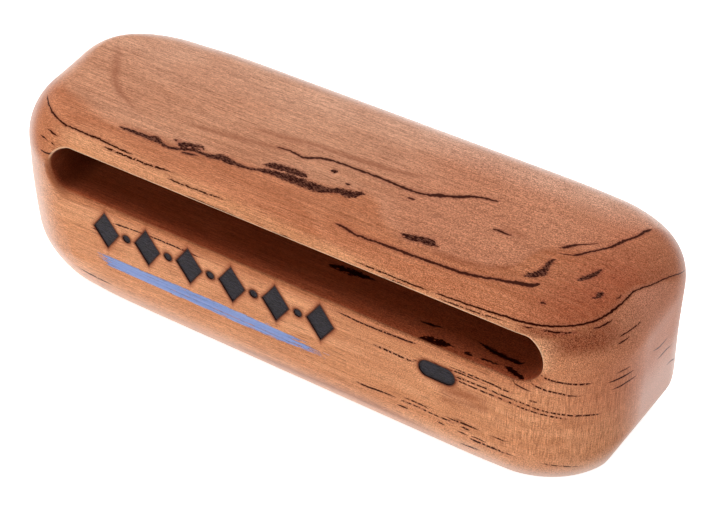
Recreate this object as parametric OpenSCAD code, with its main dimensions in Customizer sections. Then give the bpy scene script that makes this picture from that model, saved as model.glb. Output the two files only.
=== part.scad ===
// Woodblock, a small hand percussion instrument.
// One solid piece of hardwood, rounded on every edge. A long slot routed into the front leaves
// a thin plate of wood above it, and that plate sounds when it is struck.
// A painted band and burned-in ornament lie flush in the front face, below the slot.
// Millimetres. X runs along the block, the slotted front faces -Y and +Z is up.
// The origin is the middle of the flat underside.

/* [Block] */
// Length from end to end
block_length = 190; // [170:1:240]
// Depth from the slotted front to the back
block_depth = 66.5; // [56:0.5:90]
// Height from the underside to the top face
block_height = 62.5; // [58:0.5:80]
// Radius of the four upright corners, seen from above
corner_radius = 26.5; // [24:0.5:27.5]
// Radius of the rounding between the sides and the top face
top_radius = 12; // [6:0.5:16]
// Radius of the rounding between the sides and the underside
base_radius = 22.5; // [16:0.5:23.5]

/* [Slot] */
// Height of the slot, which is the diameter of its cutter
slot_height = 12.7; // [10:0.1:15]
// Thickness of the plate of wood between the slot and the top face
top_plate = 4.7; // [3.5:0.1:6.5]
// Thickness of the wood left behind the slot
back_wall = 15.5; // [10:0.5:25]
// Wood left between the slot and the left end of the block
left_wall = 21; // [16:0.5:30]
// Wood left between the slot and the right end of the block
right_wall = 17; // [16:0.5:30]

/* [Painted band] */
// Length of the painted band over its round ends
band_length = 96; // [60:1:108]
// Height of the painted band
band_height = 5.5; // [3:0.5:6.5]
// Height of its lower edge above the start of the lower rounding
band_rise = 1.2; // [0.5:0.1:2]
// Distance from the start of the left corner to the band
band_inset = 2.5; // [1:0.5:10]
// Depth of the paint film, which lies flush with the wood
band_film = 0.3; // [0.2:0.05:0.6]

/* [Burned ornament] */
// Number of lozenges in the row
lozenge_count = 6; // [3:1:7]
// Wood left between the row and the slot above it, and between the row and the band below it
row_margin = 2; // [1:0.1:4]
// Width of a lozenge
lozenge_width = 8.4; // [5:0.2:9]
// Distance from the middle of one lozenge to the middle of the next
lozenge_step = 14; // [11:0.5:15]
// Diameter of the dots between the lozenges
dot_diameter = 2.4; // [1.4:0.2:2.8]
// Distance from the start of the left corner to the middle of the first lozenge
row_inset = 13.5; // [6:0.5:20]
// Depth that the iron burned into the wood
burn_depth = 0.6; // [0.4:0.1:1.2]

/* [Small burned oval] */
// Width of the oval over its round ends
oval_width = 10.5; // [7:0.5:16]
// Height of the oval, as a share of the height of a lozenge
oval_height_share = 0.45; // [0.3:0.05:0.7]
// Distance from the middle of the oval to the start of the right corner
oval_inset = 18.5; // [10:0.5:26]

/* [Hidden] */
$fn = 96;

// How far a cutter runs past the face that it enters
overrun = 4;
front_y = -block_depth / 2;

// The axes of the upright corners
corner_x = block_length / 2 - corner_radius;
corner_y = block_depth / 2 - corner_radius;

// The slot, whose round ends are turned about axes along Y
slot_radius = slot_height / 2;
slot_left = -block_length / 2 + left_wall + slot_radius;
slot_right = block_length / 2 - right_wall - slot_radius;
slot_z = block_height - top_plate - slot_radius;
slot_depth = block_depth - back_wall;

// The band lies just above the lower rounding. The row fills the room between the band and
// the slot, and the oval stands level with it
band_x = -corner_x + band_inset + band_length / 2;
band_z = base_radius + band_rise + band_height / 2;
row_low = band_z + band_height / 2 + row_margin;
row_high = slot_z - slot_radius - row_margin;
row_x = -corner_x + row_inset;
row_z = (row_low + row_high) / 2;
lozenge_height = row_high - row_low;
oval_x = corner_x - oval_inset;
oval_height = lozenge_height * oval_height_share;

// Outline of an upright section through the wall: distance from a corner's axis, and height
module wall_section() {
    top_in = corner_radius - top_radius;
    base_in = corner_radius - base_radius;
    square([base_in, block_height - top_radius]);
    translate([0, base_radius])
        square([top_in, block_height - base_radius]);
    translate([0, base_radius])
        square([corner_radius, block_height - base_radius - top_radius]);
    intersection() {
        translate([top_in, block_height - top_radius])
            circle(top_radius);
        translate([top_in, block_height - top_radius])
            square(top_radius);
    }
    intersection() {
        translate([base_in, base_radius])
            circle(base_radius);
        translate([base_in, 0])
            square(base_radius);
    }
}

// The block before anything is cut into it: four turned corners, four walls and the core
module rounded_body() {
    for (turn = [0, 1, 2, 3]) {
        side_x = (turn == 0 || turn == 3) ? 1 : -1;
        side_y = (turn < 2) ? 1 : -1;
        translate([side_x * corner_x, side_y * corner_y, 0])
            rotate([0, 0, 90 * turn])
                rotate_extrude(angle = 90)
                    wall_section();
    }
    for (side = [0, 1]) {
        rotate([0, 0, 180 * side])
            translate([corner_x, corner_y, 0])
                rotate([90, 0, 0])
                    linear_extrude(2 * corner_y)
                        wall_section();
        rotate([0, 0, 180 * side])
            translate([-corner_x, corner_y, 0])
                rotate([90, 0, 90])
                    linear_extrude(2 * corner_x)
                        wall_section();
    }
    translate([-corner_x, -corner_y, 0])
        cube([2 * corner_x, 2 * corner_y, block_height]);
}

// The room that the cutter clears, from in front of the block to the end of the slot
module slot_room() {
    reach = slot_depth + overrun;
    translate([0, front_y - overrun, slot_z]) {
        for (end_x = [slot_left, slot_right])
            translate([end_x, 0, 0])
                rotate([-90, 0, 0])
                    cylinder(h = reach, r = slot_radius);
        translate([slot_left, 0, -slot_radius])
            cube([slot_right - slot_left, reach, slot_height]);
    }
}

// A flat shape on the front face, pressed in to a depth and reaching out by a margin
module on_front(x, z, depth, margin) {
    translate([x, front_y + depth, z])
        rotate([90, 0, 0])
            linear_extrude(depth + margin)
                children();
}

// Outline of a bar with round ends
module bar_outline(length, height) {
    for (side = [-1, 1])
        translate([side * (length - height) / 2, 0])
            circle(d = height);
    square([length - height, height], center = true);
}

module lozenge_outline() {
    polygon([
        [-lozenge_width / 2, 0],
        [0, -lozenge_height / 2],
        [lozenge_width / 2, 0],
        [0, lozenge_height / 2]
    ]);
}

// The painted band, out to a margin in front of the wood
module band_shape(margin) {
    on_front(band_x, band_z, band_film, margin)
        bar_outline(band_length, band_height);
}

// The lozenges and the dots between them, out to a margin in front of the wood
module row_shape(margin) {
    for (i = [0 : lozenge_count - 1])
        on_front(row_x + i * lozenge_step, row_z, burn_depth, margin)
            lozenge_outline();
    for (i = [0 : lozenge_count - 2])
        on_front(row_x + (i + 0.5) * lozenge_step, row_z, burn_depth, margin)
            circle(d = dot_diameter);
}

// The small oval, out to a margin in front of the wood
module oval_shape(margin) {
    on_front(oval_x, row_z, burn_depth, margin)
        bar_outline(oval_width, oval_height);
}

module block() {
    color([0.84, 0.64, 0.52])
        difference() {
            rounded_body();
            slot_room();
            band_shape(overrun);
            row_shape(overrun);
            oval_shape(overrun);
        }
}

module paint_band() {
    color([0.55, 0.64, 0.82])
        band_shape(0);
}

module burned_row() {
    color([0.24, 0.13, 0.08])
        row_shape(0);
}

module burned_oval() {
    color([0.24, 0.13, 0.08])
        oval_shape(0);
}

block();
paint_band();
burned_row();
burned_oval();
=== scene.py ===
import math
from types import SimpleNamespace

import bmesh
import bpy
import numpy as np
from mathutils import Matrix, Vector


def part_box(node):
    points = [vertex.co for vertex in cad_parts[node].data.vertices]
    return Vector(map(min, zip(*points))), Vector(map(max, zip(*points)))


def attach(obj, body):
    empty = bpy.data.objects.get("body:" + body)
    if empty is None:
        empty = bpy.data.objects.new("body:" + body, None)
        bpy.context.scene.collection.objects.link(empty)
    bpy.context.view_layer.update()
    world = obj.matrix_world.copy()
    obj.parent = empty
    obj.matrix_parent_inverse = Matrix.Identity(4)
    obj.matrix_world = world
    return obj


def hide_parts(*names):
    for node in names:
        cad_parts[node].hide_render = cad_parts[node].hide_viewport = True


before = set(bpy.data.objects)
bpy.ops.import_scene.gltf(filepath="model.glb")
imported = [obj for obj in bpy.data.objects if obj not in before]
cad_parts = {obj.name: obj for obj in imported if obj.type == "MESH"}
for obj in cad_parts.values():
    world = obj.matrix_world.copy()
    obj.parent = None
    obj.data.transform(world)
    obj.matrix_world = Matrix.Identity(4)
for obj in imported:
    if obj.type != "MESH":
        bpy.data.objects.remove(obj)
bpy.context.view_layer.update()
MM = 0.001


def box_in_mm(node):
    """A solid's box in millimetres, without the stray last digits of its mesh."""
    return [[round(value / MM, 4) for value in corner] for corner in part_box(node)]


block_low, block_high = box_in_mm("block")
band_low, band_high = box_in_mm("paint_band")
row_low, row_high = box_in_mm("burned_row")
oval_low, oval_high = box_in_mm("burned_oval")

# Sizes in millimetres. The wood lies a hair inside its solid, and the paint lies on it
HAIR = 0.05
LENGTH = block_high[0] - block_low[0]
DEPTH = block_high[1] - block_low[1] - 2 * HAIR
HEIGHT = block_high[2]
CORNER = 26.5 - HAIR
TOP_ROUND, BASE_ROUND = 12.0, 22.5
FRONT = -DEPTH / 2
# Middles of the corners, seen from above, and the way from mid front round to mid back
CORNER_X, CORNER_Y = LENGTH / 2 - CORNER, DEPTH / 2 - CORNER
QUARTER = CORNER * math.pi / 2
HALF_WAY = 2 * (CORNER_X + CORNER_Y + QUARTER)

# The slot, and the wood left above it, behind it and at its ends
SLOT_HEIGHT, TOP_PLATE, BACK_WALL, LEFT_WALL, RIGHT_WALL = 12.7, 4.7, 15.5, 21.0, 17.0
SLOT_Z = HEIGHT - (TOP_PLATE + SLOT_HEIGHT / 2)
SLOT_BACK = block_high[1] - BACK_WALL
SLOT_LEFT = -LENGTH / 2 + LEFT_WALL + SLOT_HEIGHT / 2
SLOT_RIGHT = LENGTH / 2 - RIGHT_WALL - SLOT_HEIGHT / 2

# The burned marks: a row of lozenges with dots between them, and an oval level with it
LOZENGES, LOZENGE_WIDE, DOT = 6, 8.4, 2.4
LOZENGE_HIGH = round(row_high[2] - row_low[2], 4)
LOZENGE_STEP = (row_high[0] - row_low[0] - LOZENGE_WIDE) / (LOZENGES - 1)
ROW_X, ROW_Z = row_low[0] + LOZENGE_WIDE / 2, (row_low[2] + row_high[2]) / 2
OVAL_X, OVAL_WIDE = (oval_low[0] + oval_high[0]) / 2, oval_high[0] - oval_low[0]
OVAL_HIGH = round(oval_high[2] - oval_low[2], 4)
# The painted band
BAND_HIGH, BAND_Z = band_high[2] - band_low[2], (band_low[2] + band_high[2]) / 2
# How deep the iron burned, how far the char lies below the wood, and its eased rim
BURN_DEPTH, CHAR_SUNK, CHAR_RIM = 0.55, 0.22, 0.12


# Making pieces
def placed(name, data):
    """A new object in the scene."""
    obj = bpy.data.objects.new(name, data)
    bpy.context.scene.collection.objects.link(obj)
    return obj


def mesh_object(bm, name):
    """A new object from a bmesh, which is used up."""
    mesh = bpy.data.meshes.new(name)
    bm.to_mesh(mesh)
    bm.free()
    return placed(name, mesh)


def discard(obj):
    mesh = obj.data
    bpy.data.objects.remove(obj)
    bpy.data.meshes.remove(mesh)


def piece_from(bm, name, material, node, smooth_below=40):
    """A finished piece from a bmesh in millimetres. Edges sharper than the angle stay sharp."""
    bmesh.ops.scale(bm, vec=(MM, MM, MM), verts=bm.verts)
    for face in bm.faces:
        face.smooth = True
    for edge in bm.edges:
        if len(edge.link_faces) == 2:
            edge.smooth = edge.calc_face_angle(0) < math.radians(smooth_below)
    piece = mesh_object(bm, name)
    piece.data.materials.append(material)
    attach(piece, "root")
    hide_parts(node)
    return piece


def baked(obj):
    """The object's mesh with its modifiers applied, as a new bmesh. The object goes."""
    bpy.context.view_layer.update()
    finished = obj.evaluated_get(bpy.context.evaluated_depsgraph_get())
    bm = bmesh.new()
    bm.from_mesh(finished.to_mesh())
    discard(obj)
    return bm


def cut(obj, tool_bm, name):
    """Takes one closed shape out of another and gives the result as a bmesh."""
    tool = mesh_object(tool_bm, name)
    modifier = obj.modifiers.new(name, "BOOLEAN")
    modifier.operation = "DIFFERENCE"
    modifier.solver = "EXACT"
    modifier.object = tool
    bm = baked(obj)
    discard(tool)
    return bm


# The block's shape
def rounded_block():
    """A box whose upright corners, top edges and bottom edges are rolled over in turn."""
    bm = bmesh.new()
    bmesh.ops.create_cube(bm, size=1)
    bmesh.ops.scale(bm, vec=(LENGTH, DEPTH, HEIGHT), verts=bm.verts)
    bmesh.ops.translate(bm, vec=(0, 0, HEIGHT / 2), verts=bm.verts)
    upright = [e for e in bm.edges if abs(e.verts[0].co.z - e.verts[1].co.z) > 1]
    bmesh.ops.bevel(bm, geom=upright, offset=CORNER, segments=28, profile=0.5,
                    affect="EDGES", material=-1)
    for level, radius, steps in ((HEIGHT, TOP_ROUND, 16), (0.0, BASE_ROUND, 24)):
        rim = [e for e in bm.edges if all(abs(v.co.z - level) < 0.01 for v in e.verts)]
        bmesh.ops.bevel(bm, geom=rim, offset=radius, segments=steps, profile=0.5,
                        affect="EDGES", material=-1)
    bmesh.ops.remove_doubles(bm, verts=bm.verts, dist=0.001)
    return bm


def press_in(bm, verts, x, z, y_front, y_back):
    """Stands a flat face upright at its place and draws it back into the wood."""
    bmesh.ops.rotate(bm, verts=verts, cent=(0, 0, 0), matrix=Matrix.Rotation(math.pi / 2, 3, "X"))
    bmesh.ops.translate(bm, verts=verts, vec=(x, y_front, z))
    grown = bmesh.ops.extrude_face_region(bm, geom=[verts[0].link_faces[0]])
    far = [g for g in grown["geom"] if isinstance(g, bmesh.types.BMVert)]
    bmesh.ops.translate(bm, verts=far, vec=(0, y_back - y_front, 0))
    bmesh.ops.recalc_face_normals(bm, faces=bm.faces)


def bar_with_round_ends(bm, x_low, x_high, z, height, y_front, y_back, steps=32):
    """A flat bar with half-round ends that stands on edge in the front face."""
    made = bmesh.ops.create_circle(bm, cap_ends=True, cap_tris=False, segments=steps,
                                   radius=height / 2)
    for v in made["verts"]:
        if abs(v.co.x) < 0.001:
            v.co.x = (x_low + x_high) / 2
        else:
            v.co.x += x_high if v.co.x > 0 else x_low
    press_in(bm, made["verts"], 0, z, y_front, y_back)


def lozenge(bm, x, z, wide, high, y_front, y_back):
    """A lozenge that stands in the front face."""
    made = bmesh.ops.create_circle(bm, cap_ends=True, cap_tris=False, segments=4, radius=1)
    bmesh.ops.scale(bm, verts=made["verts"], vec=(wide / 2, high / 2, 1))
    press_in(bm, made["verts"], x, z, y_front, y_back)


def burned_row_shapes(bm, y_front, y_back, spare=0.0):
    """The lozenges and the dots between them, with spare room all round."""
    for i in range(LOZENGES):
        lozenge(bm, ROW_X + i * LOZENGE_STEP, ROW_Z, LOZENGE_WIDE + spare * 2,
                LOZENGE_HIGH + spare * 2, y_front, y_back)
    # a dot is a bar with hardly any straight stretch
    stretch = 0.01
    for i in range(LOZENGES - 1):
        x = ROW_X + (i + 0.5) * LOZENGE_STEP
        bar_with_round_ends(bm, x - stretch, x + stretch, ROW_Z, DOT + spare * 2, y_front, y_back)


def burned_oval_shape(bm, y_front, y_back, spare=0.0):
    half = (OVAL_WIDE - OVAL_HIGH) / 2
    bar_with_round_ends(bm, OVAL_X - half, OVAL_X + half, ROW_Z, OVAL_HIGH + spare * 2,
                        y_front, y_back)


def square_distance(a, b):
    """Distance outside a square edge, from the distances outside its two faces."""
    return np.hypot(np.maximum(a, 0), np.maximum(b, 0)) + np.minimum(np.maximum(a, b), 0)


def body_distance(p):
    """Distance of points outside the rounded block, before the slot is cut."""
    r = square_distance(np.abs(p[:, 0]) - CORNER_X, np.abs(p[:, 1]) - CORNER_Y)
    high = p[:, 2] > HEIGHT / 2
    edge = np.where(high, TOP_ROUND, BASE_ROUND)
    above = np.where(high, p[:, 2] - (HEIGHT - TOP_ROUND), BASE_ROUND - p[:, 2])
    return square_distance(r - (CORNER - edge), above) - edge


def slot_distance(p):
    """Distance of points outside the room that the cutter cleared."""
    x = p[:, 0] - np.clip(p[:, 0], SLOT_LEFT, SLOT_RIGHT)
    return square_distance(np.hypot(x, p[:, 2] - SLOT_Z) - SLOT_HEIGHT / 2, p[:, 1] - SLOT_BACK)


def slope(field, p):
    """The direction in which a distance grows."""
    step = 0.02
    out = np.empty_like(p)
    for axis in range(3):
        shift = np.zeros(3)
        shift[axis] = step
        out[:, axis] = field(p + shift) - field(p - shift)
    return out / np.maximum(np.linalg.norm(out, axis=1, keepdims=True), 1e-9)


# How far the lips are eased: crisp above and at the right, well rolled at the lower left
CRISP_LIP = 0.6
ROLLED_LIP = [(-80, 2.6), (-68, 2.5), (-50, 1.4), (-20, 0.9), (80, 0.7)]


def lip_radius(p):
    """Radius of the slot's eased lip next to each point."""
    level = np.clip((p[:, 2] - SLOT_Z) / (SLOT_HEIGHT / 2), -1, 1)
    low = 0.5 - 0.5 * np.clip(level * 1.5, -1, 1)
    low = low * low * (3 - 2 * low)
    rolled = np.interp(p[:, 0], *zip(*ROLLED_LIP))
    return CRISP_LIP + (rolled - CRISP_LIP) * low


def ease_lips(p):
    """Seats points on the true faces. Near a lip they spread over its rounding."""
    lip = lip_radius(p)
    room = np.maximum(2.3, lip + 0.6)
    flat = room - lip
    for _ in range(4):
        a, b = -body_distance(p), slot_distance(p)
        near = (a < room) & (b < room) & (p[:, 1] < 0)
        # the way from a centre inside the wood, through the point, out to the rounded corner
        u, v = np.where(near, room - a, 1), np.where(near, room - b, 1)
        most, least = np.maximum(u, v), np.minimum(u, v)
        square, total = u * u + v * v, u + v
        root = np.maximum((flat * total) ** 2 - square * (2 * flat ** 2 - lip ** 2), 0)
        round_way = (flat * total + np.sqrt(root)) / square
        way = np.where(least * room / most <= flat, room / most, round_way)
        to_a = np.where(near, room - way * u, np.where(np.abs(a) <= np.abs(b), 0, a))
        to_b = np.where(near, room - way * v, np.where(np.abs(a) <= np.abs(b), b, 0))
        p = (p + slope(body_distance, p) * (a - to_a)[:, None]
             + slope(slot_distance, p) * (to_b - b)[:, None])
    return p


# Where hand sanding left the roundings off their even radii: place, then millimetres outwards
SANDED = [(88, 22, 55, 0.5), (76, 28.5, 59, -0.7), (-71, 28.7, 60, -0.8), (-82, 24, 60.5, -0.3),
          (-88.5, 15, 60, 1.15), (-90, -20, 54, -0.5), (-85, -27, 20, -0.3), (-76, -29, 12, -1.15),
          (78, -25, 7, -0.6), (94, 12, 20, 0.45)]
SAND_REACH = 9.0
# The flat of the front, which stays true. The sanding sets in over a few millimetres round it
TRUE_HALF, TRUE_LOW, TRUE_HIGH, SETS_IN = 68.0, 23.0, 50.0, 3.0
# A flat that the sander left along the lower edge of the right end: its direction and distance,
# and how softly it runs out
FLAT_WAY, FLAT_AT, FLAT_SOFT = (0.9259, -0.0337, -0.3761), 79.95, 0.25


def hand_sanded(p):
    """Moves the rounded parts of the outside in or out as the sanding did."""
    aside = np.maximum(np.abs(p[:, 0]) - TRUE_HALF, 0)
    away = np.maximum(np.maximum(TRUE_LOW - p[:, 2], p[:, 2] - TRUE_HIGH), 0)
    off_front = np.where(p[:, 1] > FRONT + 0.5, SETS_IN, np.hypot(aside, away))
    free = np.clip(off_front / SETS_IN, 0, 1)
    skin = np.clip(1 + body_distance(p) / 3, 0, 1)
    amount = np.zeros(len(p))
    for x, y, z, out in SANDED:
        gone = ((p - np.array((x, y, z))) ** 2).sum(1)
        amount += out * np.exp(-gone / (2 * SAND_REACH ** 2))
    p = p + slope(body_distance, p) * (amount * free * skin)[:, None]
    way = np.array(FLAT_WAY)
    over = p @ way - FLAT_AT
    taken = np.where(over > -1.5, FLAT_SOFT * np.log1p(np.exp(over / FLAT_SOFT)), 0)
    p = p - way * taken[:, None]
    return np.clip(p, (-LENGTH / 2, -DEPTH / 2, 0), (LENGTH / 2, DEPTH / 2, HEIGHT))


def girth(p):
    """Way round the upright outline from the middle of the front, growing to the right."""
    x, y = np.abs(p[:, 0]), p[:, 1]
    past = x - CORNER_X
    front_turn = np.arctan2(np.maximum(past, 0), np.maximum(-y - CORNER_Y, 1e-6))
    back_turn = np.arctan2(np.maximum(y - CORNER_Y, 0), np.maximum(past, 1e-6))
    on_end, behind = past > 0, y > CORNER_Y
    around = np.select([on_end & (y <= -CORNER_Y), on_end & ~behind, on_end, behind],
                       [CORNER_X + CORNER * front_turn, CORNER_X + QUARTER + CORNER_Y + y,
                        CORNER_X + QUARTER + 2 * CORNER_Y + CORNER * back_turn, HALF_WAY - x], x)
    return np.where(p[:, 0] < 0, -around, around)


# Node work
class Wire:
    """A number, colour or place that changes over a surface: one output socket, with sums."""

    def __init__(self, socket):
        self.socket, self.tree = socket, socket.id_data

    def math(self, operation, *others):
        """A maths node on this and others, which are wires or plain numbers."""
        sums = new_node(self.tree, "ShaderNodeMath", enumerate((self, *others)), operation=operation)
        return Wire(sums.outputs[0])

    def __add__(self, other):
        return self.math("ADD", other)

    def __sub__(self, other):
        return self.math("SUBTRACT", other)

    def __rsub__(self, other):
        return self.scaled(-1.0, other)

    def __mul__(self, other):
        return self.math("MULTIPLY", other)

    def __truediv__(self, other):
        return self.math("DIVIDE", other)

    def __abs__(self):
        return self.math("ABSOLUTE")

    def scaled(self, factor, offset):
        """This times a factor, plus an offset."""
        return self.math("MULTIPLY_ADD", factor, offset)

    def centred(self, amount):
        """A noise value moved to spread evenly about 0."""
        return self.scaled(amount, -amount / 2)

    def mixed(self, a, b):
        """A number between two others, as far on as this says."""
        return self.scaled(b - a, a)

    def held(self):
        """This held between 0 and 1."""
        return larger(self, 0.0).math("MINIMUM", 1.0)

    def ramp(self, low, high):
        """From 0 to 1 between two constants, held outside them."""
        k = 1.0 / (high - low)
        return self.scaled(k, -low * k).held()

    def soft(self, low, high):
        """A ramp with soft shoulders."""
        way = self.ramp(low, high)
        return way * way * way.scaled(-2.0, 3.0)

    def between(self, low, high, shoulder):
        """1 between two places and 0 beyond them, with soft shoulders."""
        return (self.soft(low - shoulder, low + shoulder)
                * self.soft(high + shoulder, high - shoulder))


def give(node, inputs):
    """Gives a node its inputs by name or number: wires, plain numbers, or tuples of them."""
    for name, item in dict(inputs).items():
        socket = node.inputs[name]
        if isinstance(item, Wire):
            item.tree.links.new(item.socket, socket)
        elif socket.type == "RGBA":
            socket.default_value = (*item, 1.0)
        else:
            socket.default_value = item


def new_node(tree, kind, inputs=(), **settings):
    node = tree.nodes.new(kind)
    for name, setting in settings.items():
        setattr(node, name, setting)
    give(node, inputs)
    return node


def larger(first, *others):
    for other in others:
        first = first.math("MAXIMUM", other)
    return first


def noise(place, scale, detail=1.0, rough=0.5, shift=(0, 0, 0)):
    """Noise whose fineness is set along each axis."""
    moved = new_node(place.tree, "ShaderNodeMapping",
                     {"Vector": place, "Scale": scale, "Location": shift})
    node = new_node(place.tree, "ShaderNodeTexNoise",
                    {"Vector": Wire(moved.outputs["Vector"]), "Scale": 1.0, "Detail": detail,
                     "Roughness": rough})
    return Wire(node.outputs["Fac"])


def blend(factor, a, b, mode="MIX"):
    """One colour under another, which the factor brings in."""
    node = new_node(factor.tree, "ShaderNodeMix", data_type="RGBA", blend_type=mode)
    give(node, {0: factor, 6: a, 7: b})
    return Wire(node.outputs[2])


def washed(tone, *washes):
    """The tone under washes laid on in turn, each a colour and the mask that thins it."""
    for colour, mask in washes:
        tone = blend(mask, tone, colour)
    return tone


def srgb(r, g, b):
    """A colour written as it looks on screen, 0 to 255."""
    out = []
    for v in (r, g, b):
        v = v / 255
        out.append(v / 12.92 if v <= 0.04045 else ((v + 0.055) / 1.055) ** 2.4)
    return tuple(out)


def new_group(name, ins, outs):
    """A node group with number sockets. An input without a number is a place."""
    group = bpy.data.node_groups.new(name, "ShaderNodeTree")
    for label, default in ins.items():
        kind = "NodeSocketVector" if default is None else "NodeSocketFloat"
        socket = group.interface.new_socket(name=label, in_out="INPUT", socket_type=kind)
        if default is not None:
            socket.default_value = default
    for label in outs:
        group.interface.new_socket(name=label, in_out="OUTPUT", socket_type="NodeSocketFloat")
    start, end = group.nodes.new("NodeGroupInput"), group.nodes.new("NodeGroupOutput")
    return group, {label: Wire(start.outputs[label]) for label in ins}, end


def use_group(tree, group, **values):
    """A group at work in a tree. Gives its outputs by name."""
    node = new_node(tree, "ShaderNodeGroup", node_tree=group)
    give(node, {label.replace("_", " "): item for label, item in values.items()})
    return {socket.name: Wire(socket) for socket in node.outputs}


def millimetres(tree):
    """Object coordinates in millimetres."""
    coords = Wire(new_node(tree, "ShaderNodeTexCoord").outputs["Object"])
    node = new_node(tree, "ShaderNodeVectorMath", {0: coords, "Scale": 1000.0}, operation="SCALE")
    return Wire(node.outputs[0])


def parts_of(place):
    node = new_node(place.tree, "ShaderNodeSeparateXYZ", {0: place})
    return [Wire(socket) for socket in node.outputs]


def surface_value(tree, name):
    """A number that the mesh holds at each point."""
    return Wire(new_node(tree, "ShaderNodeAttribute", attribute_name=name).outputs["Fac"])


def new_material(name):
    material = bpy.data.materials.new(name)
    material.use_nodes = True
    tree = material.node_tree
    return material, tree, tree.nodes["Principled BSDF"]


def bumps(height, strength, distance):
    """The normal of a surface that rises with a height."""
    node = new_node(height.tree, "ShaderNodeBump",
                    {"Height": height, "Strength": strength, "Distance": distance})
    return Wire(node.outputs[0])


def grain_group():
    """Fine grain of the wood, which runs along X. Each output is a mask."""
    names = ("Fibres", "Specks", "Pores", "Long pores", "Streaks", "Bands", "Rays", "Clouds")
    group, ins, end = new_group("wood grain", {"Place": None}, names)
    place = ins["Place"]
    masks = {}
    # one noise each: fineness, detail, roughness, shift, then where the mask starts and is full
    for name, scale, detail, rough, shift, low, high in (
            ("Specks", (3.2, 4.4, 5.0), 1.0, 0.5, (3, 3, 8), 0.34, 0.66),
            ("Pores", (0.9, 4.6, 5.0), 1.0, 0.6, (1, 6, 2), 0.58, 0.68),
            ("Streaks", (0.05, 1.3, 1.5), 2.0, 0.6, (3, 7, 1), 0.33, 0.67),
            ("Rays", (4.4, 4.4, 0.28), 1.0, 0.5, (1, 4, 2), 0.30, 0.70)):
        masks[name] = noise(place, scale, detail, rough, shift).ramp(low, high)
    short = noise(place, (0.7, 5.0, 5.4), 1.0, 0.6)
    long = noise(place, (0.07, 3.4, 3.8), 1.0, 0.6, (7, 1, 3))
    masks["Fibres"] = (short * 0.55 + long * 0.45).ramp(0.32, 0.68)
    crowd = noise(place, (0.02, 0.12, 0.22), 2.0, 0.5, (6, 2, 4))
    pores = noise(place, (0.16, 2.6, 3.0), 2.0, 0.65, (2, 9, 5))
    masks["Long pores"] = crowd.scaled(0.30, pores).ramp(0.79, 0.86)
    # bands that wander with a slow noise
    warp = noise(place, (0.018, 0.03, 0.03), 1.0, 0.5, (5, 2, 9))
    lift = new_node(group, "ShaderNodeCombineXYZ", {1: warp * 30.0, 2: warp * 10.0})
    shifted = new_node(group, "ShaderNodeVectorMath", {0: place, 1: Wire(lift.outputs[0])})
    bands = noise(Wire(shifted.outputs[0]), (0.01, 0.16, 0.30), 3.0, 0.6)
    masks["Bands"] = bands.soft(0.35, 0.65)
    masks["Clouds"] = noise(place, (0.05, 0.09, 0.09), 2.0, 0.5, (9, 9, 1)).soft(0.35, 0.65)
    give(end, masks)
    return group


def figure_line_group():
    """One line of figure. Its middle and width come from curves along its way."""
    group, ins, end = new_group(
        "figure line",
        {"Across": 0.0, "Middle": 0.5, "Width": 1.0, "Fray": 0.5, "Dash": 0.5, "Ragged": 0.3,
         "Broken": 0.0, "Soft": 0.08, "Halo reach": 0.6, "Taper": 8.0},
        ("Mask", "Halo"))
    fray = (ins["Fray"] - 0.5).scaled(ins["Ragged"] * 5.0, 1.0)
    depth = ins["Width"] * fray - abs(ins["Across"] - ins["Middle"])
    inside = (depth / ins["Soft"]).scaled(0.5, 0.5).held()
    whole = (ins["Dash"] - ins["Broken"]).scaled(22.0, 0.3).held()
    taper = (ins["Width"] * ins["Taper"]).held()
    near = (depth / ins["Halo reach"] + 1.0).held()
    give(end, {"Mask": inside * taper * whole, "Halo": near * taper})
    return group


def burned_edge_group():
    """How near the front face is to a burned mark, in millimetres from its edge."""
    group, ins, end = new_group("burned edge", {"Place": None}, ("Distance",))
    x, y, z = parts_of(ins["Place"])
    z = abs(z - ROW_Z)

    def from_middle(across, radius):
        """How far outside a round the point is."""
        return (across * across + z * z).math("SQRT") - radius

    # lozenges repeat along the row, and the dots stand half a step on
    half_step = LOZENGE_STEP / 2
    row_end = ROW_X + (LOZENGES - 1) * LOZENGE_STEP
    turn = (x - ROW_X).math("PINGPONG", half_step)
    long_side = math.hypot(LOZENGE_WIDE, LOZENGE_HIGH)
    skew = turn * (LOZENGE_HIGH / long_side) + z * (LOZENGE_WIDE / long_side)
    to_lozenge = larger(skew - LOZENGE_WIDE * LOZENGE_HIGH / 2 / long_side,
                        ROW_X - half_step - x, x - (row_end + half_step))
    to_dot = larger(from_middle(half_step - turn, DOT / 2), ROW_X - x, x - row_end)
    past = larger(abs(x - OVAL_X) - (OVAL_WIDE - OVAL_HIGH) / 2, 0.0)
    to_oval = from_middle(past, OVAL_HIGH / 2)
    nearest = to_lozenge.math("MINIMUM", to_dot).math("MINIMUM", to_oval)
    give(end, {"Distance": larger(nearest, y - (FRONT + 0.9))})
    return group


GRAIN = grain_group()
FIGURE_LINE = figure_line_group()
BURNED_EDGE = burned_edge_group()

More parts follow.
